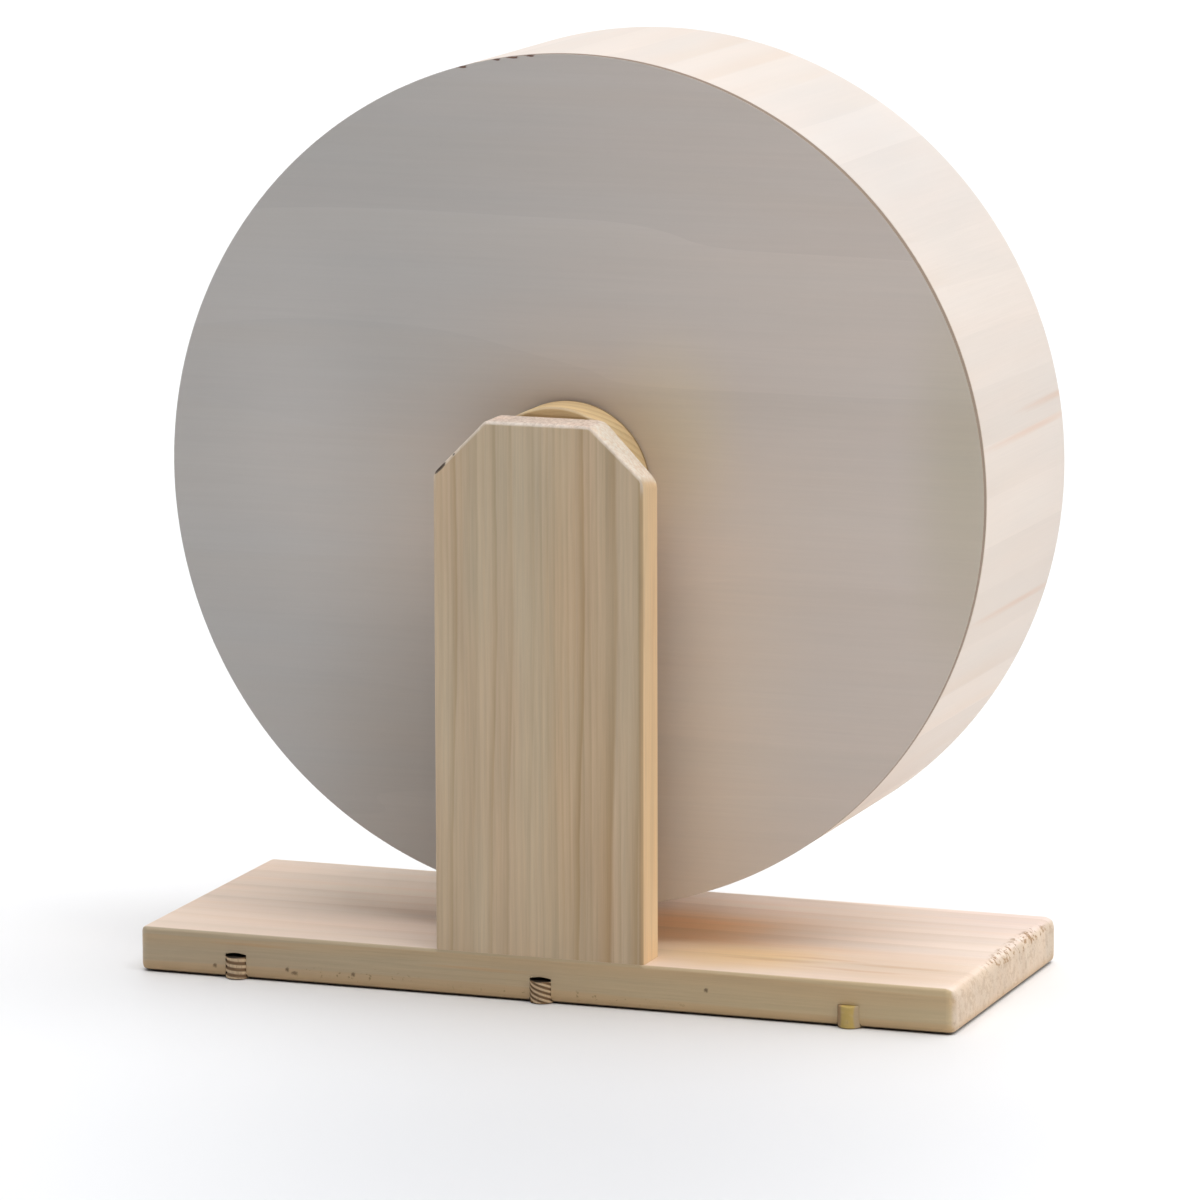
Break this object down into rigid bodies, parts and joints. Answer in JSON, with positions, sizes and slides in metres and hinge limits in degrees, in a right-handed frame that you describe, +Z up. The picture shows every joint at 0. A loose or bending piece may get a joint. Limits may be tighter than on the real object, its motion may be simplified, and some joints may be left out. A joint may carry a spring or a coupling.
{
  "type": "wooden rodent exercise wheel",
  "caption": "Wooden exercise wheel for small rodents: an open plywood drum that spins on a bearing hub, on one upright post with a flat base board.",
  "frame": {"origin": "on the floor, under the middle of the whole model's box", "axes": "+X along the base board, +Y along the axle from the post to the drum's open mouth, +Z up"},
  "size_m": [0.282, 0.1252, 0.3055],
  "materials": {
    "pine_base": "sanded pine, no varnish",
    "pine_post": "sanded pine, no varnish, straight upright grain",
    "golden_hub": "turned golden wood, sanded",
    "disc_plywood": "matt plywood",
    "band_veneer": "pale matt veneer, grain along the axle",
    "beech_dowel": "raw beech with pressed ridges",
    "bearing_steel": "ground steel",
    "zinc_steel": "zinc plated",
    "brass_insert": "plain brass",
    "nylon_cage": "moulded nylon"
  },
  "bodies": {
    "stand": {"base_board": "pine_base", "post": "pine_post", "edge_dowel_left": "beech_dowel", "edge_dowel_middle": "beech_dowel", "edge_dowel_right": "beech_dowel", "post_dowel_left": "beech_dowel", "post_dowel_right": "beech_dowel", "post_screw_left": "zinc_steel", "post_screw_right": "zinc_steel", "threaded_insert": "brass_insert", "shim_washer": "bearing_steel", "axle_sleeve": "bearing_steel", "head_washer": "zinc_steel", "axle_bolt": "zinc_steel", "rear_inner_race": "bearing_steel", "front_inner_race": "bearing_steel"},
    "drum": {"hub_block": "golden_hub", "back_disc": "disc_plywood", "rim_band": "band_veneer", "hub_plate": "golden_hub", "hub_screw_1": "zinc_steel", "hub_screw_2": "zinc_steel", "hub_screw_3": "zinc_steel", "hub_screw_4": "zinc_steel", "rear_outer_race": "bearing_steel", "front_outer_race": "bearing_steel", "rear_shield": "bearing_steel", "front_shield": "bearing_steel"},
    "rear_ball_set": {"rear_cage": "nylon_cage", "rear_ball_1": "bearing_steel", "rear_ball_2": "bearing_steel", "rear_ball_3": "bearing_steel", "rear_ball_4": "bearing_steel", "rear_ball_5": "bearing_steel", "rear_ball_6": "bearing_steel", "rear_ball_7": "bearing_steel"},
    "front_ball_set": {"front_cage": "nylon_cage", "front_ball_1": "bearing_steel", "front_ball_2": "bearing_steel", "front_ball_3": "bearing_steel", "front_ball_4": "bearing_steel", "front_ball_5": "bearing_steel", "front_ball_6": "bearing_steel", "front_ball_7": "bearing_steel"}
  },
  "joints": [
    {"name": "drum_spin", "type": "hinge", "parent": "stand", "child": "drum", "pos_m": [0, 0, 0.1655], "axis": [0, 1, 0], "continuous": true},
    {"name": "rear_balls_roll", "type": "hinge", "parent": "stand", "child": "rear_ball_set", "pos_m": [0, -0.0402, 0.1655], "axis": [0, 1, 0], "continuous": true},
    {"name": "front_balls_roll", "type": "hinge", "parent": "stand", "child": "front_ball_set", "pos_m": [0, -0.0216, 0.1655], "axis": [0, 1, 0], "continuous": true}
  ],
  "couplings": [
    {"joint": "rear_balls_roll", "follows": "drum_spin", "ratio": 0.6315},
    {"joint": "front_balls_roll", "follows": "drum_spin", "ratio": 0.6315}
  ]
}
